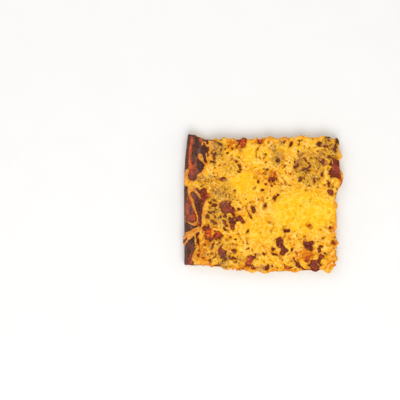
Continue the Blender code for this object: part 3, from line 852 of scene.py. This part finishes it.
def trace_map(grid, seed):
    """1 along short curved lines, and 0 elsewhere."""
    draw = np.random.default_rng(seed)
    nearest = np.full(grid.x.shape, 2.0)
    for _ in range(TRACES):
        x, y = anywhere(draw, TRACE_AREA)
        length = draw.uniform(*TRACE_LENGTHS)
        places = bent_line(x, y, length, draw.uniform(0, math.pi), draw.normal() * 0.6, 5)
        cut = grid.near((*(places.min(axis=0) - 2), 5), (*(places.max(axis=0) + 2), 6))[:2]
        for (ax, ay), (bx, by) in zip(places, places[1:]):
            gx, gy, dx, dy = grid.x[cut] - ax, grid.y[cut] - ay, bx - ax, by - ay
            share = np.clip((gx * dx + gy * dy) / (dx * dx + dy * dy), 0, 1)
            nearest[cut] = np.minimum(nearest[cut], np.hypot(gx - share * dx, gy - share * dy))
    return 1 - smooth_step(nearest, 0.3, 0.85)


def longest_run(clear):
    """The slice of the longest stretch of true values."""
    best, start = slice(0, 0), 0
    for end, value in enumerate([*clear, False]):
        if not value:
            if end - start > best.stop - best.start:
                best = slice(start, end)
            start = end + 1
    return best


def bent_line(x, y, length, heading, bend, count=7):
    """Points along a line that turns by bend to either side of its heading, with its middle at x, y."""
    turns = heading + bend * np.linspace(-1, 1, count - 1)
    steps = np.stack([np.cos(turns), np.sin(turns)], axis=1) * length / (count - 1)
    places = np.concatenate([[[0, 0]], np.cumsum(steps, axis=0)])
    return places - places.mean(axis=0) + (x, y)


def make_cheese():
    grid = Grid(*CHEESE_GRID)
    cheese = Cheese(grid)
    cheese.blanket()
    cheese.runs()
    cheese.shreds()
    cheese.gap_strands()
    cheese.rim_strands()
    cheese.trim()
    reached = np.where(cheese.field < 0, grid.z, -1.0).max(axis=2)
    piece = make_piece("melted_cheese", *main_part(*surface(cheese.field, grid)), cheese_finish())
    at = points_of(piece)
    body = (reached > 0).astype(float)
    level = blurred(reached * body, grid, 2.0) / np.maximum(blurred(body, grid, 2.0), 1e-3)
    side, gap = grid.sample(cheese.side, at), grid.sample(cheese.gap, at)
    crisp = smooth_step(side, -4.0, 0.0) * (at[:, 0] < -56)
    specks = speck_map(cheese) * (1 - 0.45 * cheese.melted)
    # How far each point lies below the blurred top, for painted shade in the creases and painted highlights
    # on the crests.
    store(piece, "deep", 0.5 + (grid.sample(level, at) - at[:, 2]) / 2.4)
    store(piece, "side", smooth_step(side, -3.5, -0.3))
    store(piece, "brink", (1 - smooth_step(gap, -0.2, 2.2)) * smooth_step(gap, -2.6, -0.8))
    store(piece, "crisp", crisp)
    store(piece, "speck", grid.sample(specks, at) * (1 - crisp))
    store_maps(piece, grid, at, {
        "tone": cheese.tone, "melted": cheese.melted, "toasted": cheese.toasted, "ridge": cheese.ridges,
        "furrow": cheese.furrows, "stained": zone(grid, STAINED), "dried": zone(grid, DRIED),
        "burnt": zone(grid, BURNT),
    })
    mount(piece, "cheese")
    return cheese, reached


def ball():
    """The points and triangles of a ball of 42 points, 1 across its radius."""
    gold = (1 + 5**0.5) / 2
    first = [(0, a, b * gold) for a in (-1, 1) for b in (-1, 1)]
    corners = np.array([*first, *((b, c, a) for a, b, c in first), *((c, a, b) for a, b, c in first)], float)
    corners /= np.linalg.norm(corners[0])
    near = np.linalg.norm(corners[:, None] - corners[None], axis=2) < 1.2
    faces = [(i, j, k) for i in range(12) for j in range(i + 1, 12) for k in range(j + 1, 12)
             if near[i, j] and near[j, k] and near[i, k]]
    points, number, split = list(corners), {}, []

    def middle(i, j):
        key = (min(i, j), max(i, j))
        if key not in number:
            number[key] = len(points)
            points.append((corners[i] + corners[j]) / np.linalg.norm(corners[i] + corners[j]))
        return number[key]

    for i, j, k in faces:
        a, b, c = corners[i], corners[j], corners[k]
        if np.dot(np.cross(b - a, c - a), a) < 0:
            j, k = k, j
        ij, jk, ki = middle(i, j), middle(j, k), middle(k, i)
        split += [(i, ij, ki), (j, jk, ij), (k, ki, jk), (ij, jk, ki)]
    return np.array(points), np.array(split)


def make_crumbs(cheese, reached):
    """Toasted crumbs in the patches that have baked brown. reached is the height of the cheese's top."""
    draw = np.random.default_rng(51)
    crowd = cheese.toasted**1.5 * smooth_step(noise_map(cheese.grid, 7, 52), -0.15, 0.45)
    ball_points, ball_faces = ball()
    points, faces, tones = [], [], []
    value_at = cheese.grid.value_at
    for _ in range(CRUMBS):
        x, y = anywhere(draw, CRUMB_AREA)
        size, chance, tone = draw.uniform(*CRUMB_RADII), draw.uniform(), draw.uniform()
        squash, turn = draw.uniform(*CRUMB_SQUASH), draw.uniform(0, math.pi)
        inside = value_at(cheese.side, x, y) <= -1.5 and value_at(cheese.gap, x, y) >= 0.3
        if chance > value_at(crowd, x, y) or not inside:
            continue
        lump = ball_points * (1 + 0.16 * draw.normal(size=(len(ball_points), 1))) * size * squash
        c, s = math.cos(turn), math.sin(turn)
        lump = lump @ np.array([[c, s, 0], [-s, c, 0], [0, 0, 1]])
        top = value_at(reached, x, y)
        if top < value_at(cheese.ground, x, y) - 0.3:
            continue
        lump += (x, y, top - 0.25 * size)
        faces.append(ball_faces + len(points) * len(ball_points))
        points.append(lump)
        tones += [tone] * len(ball_points)
    piece = make_piece("toasted_crumbs", np.concatenate(points), np.concatenate(faces), crumb_finish())
    store(piece, "tone", np.array(tones))
    mount(piece)


def blurred(values, grid, size):
    """A map smoothed over this many millimetres."""
    for axis, at in enumerate(grid.axes[:2]):
        weights = np.exp(-(((at[:, None] - at[None, :]) / size) ** 2))
        weights /= weights.sum(axis=1, keepdims=True)
        values = np.tensordot(weights, values, (1, axis))
        values = np.moveaxis(values, 0, axis)
    return values


def speck_map(cheese):
    """1 on the small specks that have baked dark, and 0 elsewhere."""
    grid = cheese.grid
    draw = np.random.default_rng(47)
    nearest = np.full(grid.x.shape, 1.0)
    for _ in range(SPECKS):
        x, y = anywhere(draw, SPECK_AREA)
        radius = draw.uniform(*SPECK_RADII)
        weight = 0.08 + 0.9 * grid.value_at(cheese.toasted, x, y)
        if draw.uniform() > weight + 0.42 * (1 - grid.value_at(cheese.melted, x, y)):
            continue
        cut = grid.near((x - 3, y - 3, 5), (x + 3, y + 3, 6))[:2]
        turn = draw.uniform(0, math.pi)
        dx, dy = grid.x[cut] - x, grid.y[cut] - y
        u = (dx * math.cos(turn) + dy * math.sin(turn)) / 1.5
        v = dy * math.cos(turn) - dx * math.sin(turn)
        nearest[cut] = np.minimum(nearest[cut], np.hypot(u, v) - radius)
    return 1 - smooth_step(nearest, -0.3, 0.4)


# Materials


def srgb(red, green, blue):
    """A colour given as screen values from 0 to 255."""
    shares = [value / 255 for value in (red, green, blue)]
    return (*(c / 12.92 if c <= 0.04045 else ((c + 0.055) / 1.055) ** 2.4 for c in shares), 1.0)


class Finish:
    """Short calls that build a node material. A share is a socket or a number from 0 to 1, sizes are in
    millimetres, and a colour is a socket or three screen values."""

    def __init__(self, name):
        self.material = bpy.data.materials.new(name)
        self.material.use_nodes = True
        self.tree = self.material.node_tree
        self.place = self.node("ShaderNodeTexCoord", {}, "Object")

    def fill(self, node, inputs):
        """Links each input to a socket, or sets it to a value."""
        for name, source in inputs.items():
            if hasattr(source, "node"):
                self.tree.links.new(source, node.inputs[name])
            else:
                node.inputs[name].default_value = source

    def node(self, kind, inputs, output, **settings):
        """Adds a node with these settings and inputs, and gives its output."""
        node = self.tree.nodes.new(kind)
        for name, value in settings.items():
            setattr(node, name, value)
        self.fill(node, inputs)
        return node.outputs[output]

    def stored(self, name):
        """A value that is stored on the mesh."""
        return self.node("ShaderNodeAttribute", {}, "Fac", attribute_name=name)

    def noise(self, size, detail=3.0, roughness=0.6, stretch=None):
        """Noise from about 0 to 1 with bumps of this size."""
        place = self.place
        if stretch:
            place = self.node("ShaderNodeVectorMath", {0: place, 1: stretch}, 0, operation="MULTIPLY")
        looks = {"Vector": place, "Scale": 1 / (size * MM), "Detail": detail, "Roughness": roughness}
        return self.node("ShaderNodeTexNoise", looks, "Fac")

    def step(self, value, low, high, to_low=0.0, to_high=1.0):
        """A smooth step from to_low, where value is low, to to_high."""
        ends = {"Value": value, "From Min": low, "From Max": high, "To Min": to_low, "To Max": to_high}
        return self.node("ShaderNodeMapRange", ends, "Result", interpolation_type="SMOOTHSTEP")

    def rise(self, value, low, high, most=1.0):
        """A share that rises from 0 to most as the value goes from low to high."""
        return self.step(value, low, high, 0.0, most)

    def fall(self, value, low, high, most=1.0):
        """A share that falls from most to 0 as the value goes from low to high."""
        return self.step(value, low, high, most, 0.0)

    def spots(self, size, low, high, most=1.0, detail=3.0, roughness=0.6):
        """A share that rises to most in ragged spots, where noise of this size goes from low to high."""
        return self.rise(self.noise(size, detail, roughness), low, high, most)

    def math(self, operation, a, b):
        clamped = operation == "ADD"
        return self.node("ShaderNodeMath", {0: a, 1: b}, 0, operation=operation, use_clamp=clamped)

    def times(self, a, b):
        return self.math("MULTIPLY", a, b)

    def mix(self, share, a, b):
        a, b = (srgb(*colour) if isinstance(colour, tuple) else colour for colour in (a, b))
        return self.node("ShaderNodeMix", {"Factor": share, 6: a, 7: b}, 2, data_type="RGBA")

    def blend(self, value, low, high, a, b):
        """Colour a where value is low, and b where it is high."""
        return self.mix(self.rise(value, low, high), a, b)

    def paint(self, colour, *coats):
        """A colour with coats over it. Each coat is a colour and one or more shares, whose product is
        how much it covers."""
        for coat, share, *others in coats:
            for other in others:
                share = self.times(share, other)
            colour = self.mix(share, colour, coat)
        return colour

    def bump(self, height, strength, distance, normal=None):
        inputs = {"Strength": strength, "Distance": distance * MM, "Height": height}
        if normal:
            inputs["Normal"] = normal
        return self.node("ShaderNodeBump", inputs, "Normal")

    def finish(self, colour, roughness, normal, shine=0.5, soft=0.0, tint=(1.0, 1.0, 1.0, 1.0)):
        self.fill(self.tree.nodes["Principled BSDF"], {
            "Base Color": colour, "Roughness": roughness, "Normal": normal, "Specular IOR Level": shine,
            "Specular Tint": tint, "Subsurface Weight": soft, "Subsurface Radius": (1.0, 0.5, 0.2),
            "Subsurface Scale": 1.5 * MM,
        })
        return self.material


def cheese_finish():
    f = Finish("melted_cheese")
    fine, coarse = f.noise(1.6), f.noise(4.0, 2.0)
    grain, broken = f.noise(1.2, 3.0, 0.7), f.noise(3.0, 4.0, 0.7)
    tone, deep, melted, toasted, side = map(f.stored, ("tone", "deep", "melted", "toasted", "side"))
    lively = f.step(melted, 0.2, 0.9, 1.0, 0.3)
    inner = f.fall(side, 0.3, 0.9)

    # Grated shreds from gold to cream, and cheese that has melted together with pale threads in it.
    grated = f.paint(
        f.blend(tone, 0.0, 0.5, (236, 148, 12), (250, 186, 28)),
        ((255, 208, 96), f.rise(tone, 0.5, 1.0)),
    )
    threads = f.times(f.rise(tone, 0.6, 0.95), f.spots(0.9, 0.38, 0.6, 1.0, 2.0))
    molten = f.paint(
        f.blend(tone, 0.0, 1.0, (250, 184, 4), (253, 197, 14)),
        ((255, 222, 104), threads, 0.5),
        ((246, 176, 6), f.fall(tone, 0.05, 0.3), 0.25),
    )
    tan = f.blend(tone, 0.1, 0.9, (204, 142, 20), (238, 185, 50))
    crest_highlight = f.times(f.fall(deep, 0.1, 0.48), f.rise(fine, 0.38, 0.56))
    glints = f.times(f.spots(1.6, 0.6, 0.7, 1.0, 2.0, 0.5), f.fall(deep, 0.4, 0.6, 0.7))
    crisped = f.blend(coarse, 0.4, 0.6, (238, 172, 84), (214, 136, 52))
    crease_shade = f.times(f.rise(deep, 0.52, 0.8, 0.8), f.step(melted, 0.2, 0.9, 1.0, 0.6))
    oiled = f.math("MAXIMUM", f.stored("stained"), f.times(side, 0.7))
    dried = f.times(f.stored("dried"), f.step(broken, 0.42, 0.55, 0.05, 0.8))
    dried = f.math("MAXIMUM", f.times(toasted, f.rise(broken, 0.5, 0.6, 0.62)), dried)
    brown = f.blend(f.noise(1.9, 3.0, 0.65), 0.4, 0.6, (116, 58, 38), (208, 150, 88))
    olive = f.times(toasted, f.rise(f.noise(2.8, stretch=(1.3, 1.0, 1.0)), 0.54, 0.63))
    dots = f.times(f.spots(1.9, 0.6, 0.68, 1.0, 2.0, 0.5), f.step(toasted, 0.0, 0.8, 0.2, 0.7))
    colour = f.paint(
        f.blend(melted, 0.3, 0.9, grated, molten),
        # Painted shade in the furrows, painted highlights on the ridges of melted-in shreds, and the grain.
        ((234, 168, 0), f.stored("furrow"), 0.5),
        ((255, 220, 92), f.stored("ridge"), f.step(fine, 0.3, 0.6, 0.3, 0.8)),
        ((234, 154, 4), f.rise(grain, 0.52, 0.62, 0.4)),
        ((255, 214, 62), f.fall(grain, 0.38, 0.48, 0.35)),
        # Toasted patches, and orange and golden mottling.
        (tan, toasted, 0.8),
        ((240, 158, 14), f.spots(14.0, 0.45, 0.7, 0.3, 1.0, 0.5), lively),
        ((230, 138, 12), f.rise(coarse, 0.54, 0.64, 0.55), lively),
        ((214, 156, 16), f.spots(2.2, 0.52, 0.66, 0.5, 3.0, 0.65), lively),
        # Painted highlights on the crests, painted glints, and crisp cheese on the outer crust.
        ((255, 212, 112), crest_highlight, f.step(melted, 0.2, 0.9, 0.65, 0.3)),
        ((255, 230, 168), glints, lively),
        (crisped, f.stored("crisp"), 0.8),
        # Painted shade in the creases between the shreds, orange oil, and the brown brinks of the gaps.
        ((200, 110, 4), crease_shade, inner),
        ((130, 54, 4), f.rise(deep, 0.74, 0.98, 0.9), inner),
        ((216, 104, 14), oiled, f.spots(3.2, 0.4, 0.58), 0.85),
        ((172, 84, 8), f.stored("brink"), f.rise(fine, 0.3, 0.55), 0.8),
        # Dried brown patches, olive spots, dark dots and specks, and burnt tips.
        (brown, dried),
        ((156, 116, 18), olive, 0.5),
        ((150, 82, 14), dots, lively),
        ((108, 52, 10), f.stored("speck"), 0.85),
        ((52, 30, 22), f.stored("burnt"), f.rise(fine, 0.2, 0.5)),
    )
    normal = f.bump(f.noise(0.7), 0.7, 0.3)
    normal = f.bump(f.times(fine, f.step(melted, 0.3, 0.9, 1.0, 0.45)), 0.7, 0.7, normal)
    return f.finish(colour, f.step(fine, 0.3, 0.7, 0.34, 0.55), normal, 0.22, 0.15, (1.0, 0.72, 0.22, 1.0))


def crumb_finish():
    f = Finish("toasted_crumbs")
    tone = f.stored("tone")
    colour = f.paint(
        f.blend(tone, 0.0, 0.5, (140, 82, 50), (188, 132, 80)),
        ((206, 160, 80), f.rise(tone, 0.6, 1.0)),
        ((112, 64, 44), f.spots(1.1, 0.48, 0.65)),
    )
    return f.finish(colour, 0.55, f.bump(f.noise(0.5, 2.0, 0.5), 0.6, 0.2), 0.25)


def sauce_finish():
    f = Finish("tomato_sauce")
    fine, coarse = f.noise(1.4), f.noise(4.0, 2.0, 0.5)
    # Sauce baked in the open, with pink spots painted as highlights on the pulp, and bright wet sauce with
    # orange oil.
    open_sauce = f.paint(
        f.blend(f.stored("pulp"), 0.25, 0.85, (98, 27, 16), (152, 55, 34)),
        ((136, 62, 30), f.rise(coarse, 0.5, 0.68, 0.6)),
        ((70, 22, 16), f.spots(3.2, 0.5, 0.58, 0.8)),
        ((200, 104, 78), f.spots(2.4, 0.56, 0.64, 0.8)),
    )
    wet_sauce = f.paint(
        f.blend(coarse, 0.42, 0.58, (134, 40, 20), (188, 62, 24)),
        ((232, 116, 32), f.spots(2.2, 0.5, 0.62, 0.85, 2.0, 0.5)),
    )
    # The dark red of what the cheese covers comes first, and near the cheese's edges it is painted shade.
    colour = f.paint(
        (104, 34, 4),
        (open_sauce, f.rise(f.stored("bare"), 0.1, 0.8)),
        ((146, 92, 62), f.stored("toasted"), f.rise(fine, 0.35, 0.6), 0.5),
        ((60, 34, 24), f.stored("charred"), 0.8),
        (wet_sauce, f.stored("bright"), f.step(coarse, 0.3, 0.6, 0.35, 1.0)),
        # Small dark spots, painted shade in the crevices of the pulp.
        ((84, 24, 8), f.spots(1.1, 0.58, 0.7, 0.6)),
    )
    normal = f.bump(f.noise(0.8), 0.5, 0.3)
    normal = f.bump(f.noise(2.2), 0.7, 1.2, normal)
    return f.finish(colour, f.step(fine, 0.3, 0.7, 0.22, 0.42), normal, 0.26, 0.0, (1.0, 0.66, 0.5, 1.0))


def crust_finish():
    f = Finish("baked_crust")
    fine, coarse, lumps = f.noise(1.2), f.noise(6.0, 3.0, 0.55), f.noise(2.4)
    streaks = f.noise(4.0, 2.0, 0.5, (1.0, 0.25, 1.0))
    height, glazed, rim = map(f.stored, ("height", "glaze", "rim"))

    # The pale crumb of the cut sides, browner at its bottom and under the sauce.
    crumb = f.paint(
        f.blend(fine, 0.3, 0.7, (226, 190, 130), (246, 222, 174)),
        ((198, 158, 100), f.spots(0.9, 0.58, 0.68, 0.6, 2.0)),
        ((176, 108, 48), f.fall(height, 0.0, 0.18)),
        ((214, 120, 50), f.rise(height, 0.86, 1.0, 0.8)),
    )
    # The glaze of sauce on the outer crust, maroon where it is thin and orange where it is thick.
    ragged = f.step(streaks, 0.25, 0.75, -0.35, 0.35)
    glaze = f.math("ADD", glazed, f.times(ragged, f.rise(glazed, 0.0, 0.3)))
    maroon = f.blend(lumps, 0.4, 0.62, (126, 45, 30), (170, 82, 52))
    orange = f.paint(
        f.blend(fine, 0.35, 0.65, (186, 72, 32), (228, 112, 52)),
        ((132, 60, 46), f.rise(lumps, 0.54, 0.66, 0.6)),
    )
    # Burnt black on the top and in patches of the wall, whose lower part is lighter.
    top = f.rise(height, 0.45, 0.85)
    char = f.math("ADD", f.times(f.stored("charred"), top), f.step(lumps, 0.3, 0.7, 0.2, -0.25))
    char = f.math("MAXIMUM", char, f.times(f.fall(top, 0.0, 1.0), f.spots(12.0, 0.46, 0.6, 0.7)))
    black = f.blend(fine, 0.4, 0.65, (44, 26, 20), (94, 62, 50))
    wall = f.paint(
        f.blend(f.noise(8.0), 0.4, 0.62, (146, 86, 44), (188, 126, 66)),
        ((92, 52, 34), f.spots(2.6, 0.52, 0.66, 0.6)),
    )
    low = f.math("ADD", height, f.step(streaks, 0.25, 0.75, -0.14, 0.14))
    dark = f.paint(
        f.blend(streaks, 0.36, 0.62, (86, 46, 38), (132, 72, 54)),
        ((104, 58, 46), f.rise(coarse, 0.45, 0.65, 0.6)),
        ((88, 74, 52), f.spots(4.4, 0.54, 0.66, 0.5, 2.0, 0.5)),
        ((98, 56, 66), f.spots(5.4, 0.5, 0.62, 0.7, 2.0, 0.5)),
        # Pale spots painted as highlights on the lumps.
        ((172, 112, 86), f.spots(1.2, 0.55, 0.66, 0.55, 3.0, 0.65)),
        ((44, 30, 26), f.spots(1.1, 0.55, 0.66, 0.55, 2.0)),
        (maroon, f.rise(glaze, 0.2, 0.45, 0.9)),
        (orange, f.rise(glaze, 0.6, 1.0, 0.9)),
        (black, f.rise(char, 0.3, 0.66, 0.85)),
        (wall, f.fall(low, 0.12, 0.62, 0.85)),
    )
    # The underside, which has browned on the tray: what faces down at the bottom.
    under = f.paint(
        f.blend(f.noise(34.0, 2.0, 0.5), 0.35, 0.65, (216, 162, 96), (184, 120, 62)),
        ((142, 86, 44), f.spots(9.0, 0.48, 0.7, 0.65, 4.0, 0.65)),
        ((118, 68, 36), f.spots(2.2, 0.55, 0.68, 0.45, 3.0, 0.65)),
    )
    facing = f.node("ShaderNodeNewGeometry", {}, "True Normal")
    upward = f.node("ShaderNodeSeparateXYZ", {0: facing}, 2)
    colour = f.paint(
        crumb,
        (dark, f.rise(rim, 0.2, 0.7)),
        (under, f.fall(upward, -0.8, -0.5), f.fall(height, 0.03, 0.08)),
    )
    normal = f.bump(f.noise(0.9, 4.0, 0.65), 0.6, 0.3)
    normal = f.bump(streaks, 0.3, 0.5, normal)
    return f.finish(colour, f.step(rim, 0.2, 0.8, 0.85, 0.42), normal, 0.26, 0.0, (1.0, 0.72, 0.55, 1.0))


def floor_finish():
    f = Finish("floor")
    colour = f.mix(f.noise(40.0, 3.0, 0.5), (242, 241, 239), (237, 236, 234))
    return f.finish(colour, 0.7, f.bump(f.noise(3.0, 2.0, 0.5), 0.05, 0.2), 0.2)


# Floor, light and camera


def make_floor():
    ticks = [(k / FLOOR_SQUARES - 0.5) * FLOOR_WIDTH for k in range(FLOOR_SQUARES + 1)]
    points = [(x, y, 0.0) for x in ticks for y in ticks]
    corners = [i * len(ticks) + j for i in range(FLOOR_SQUARES) for j in range(FLOOR_SQUARES)]
    faces = [(k, k + len(ticks), k + len(ticks) + 1, k + 1) for k in corners]
    mesh = bpy.data.meshes.new("floor")
    mesh.from_pydata(points, [], faces)
    mesh.materials.append(floor_finish())
    floor = bpy.data.objects.new("floor", mesh)
    bpy.context.scene.collection.objects.link(floor)


def make_light():
    for name, (place, width, power) in LAMPS.items():
        lamp = bpy.data.lights.new(name, "AREA")
        lamp.size = width
        lamp.energy = power
        light = bpy.data.objects.new(name, lamp)
        light.location = place
        light.rotation_euler = (-Vector(place)).to_track_quat("-Z", "Y").to_euler()
        bpy.context.scene.collection.objects.link(light)
    world = bpy.data.worlds.new("studio")
    world.use_nodes = True
    world.node_tree.nodes["Background"].inputs["Color"].default_value = (1, 1, 1, 1)
    world.node_tree.nodes["Background"].inputs["Strength"].default_value = SKY_LIGHT
    bpy.context.scene.world = world
    bpy.context.scene.view_settings.view_transform = "Standard"


def make_camera():
    lens = bpy.data.cameras.new("camera")
    lens.sensor_width = SENSOR_WIDTH
    lens.lens = SENSOR_WIDTH * CAMERA_HEIGHT / (PHOTO_WIDTH * PIXEL)
    lens.clip_end = 10
    camera = bpy.data.objects.new("camera", lens)
    camera.location = (CAMERA_AT[0] * MM, CAMERA_AT[1] * MM, CAMERA_HEIGHT * MM)
    bpy.context.scene.collection.objects.link(camera)
    bpy.context.scene.camera = camera


make_camera()
make_light()
make_floor()
make_crust()
cheese, reached = make_cheese()
make_sauce(cheese)
make_crumbs(cheese, reached)
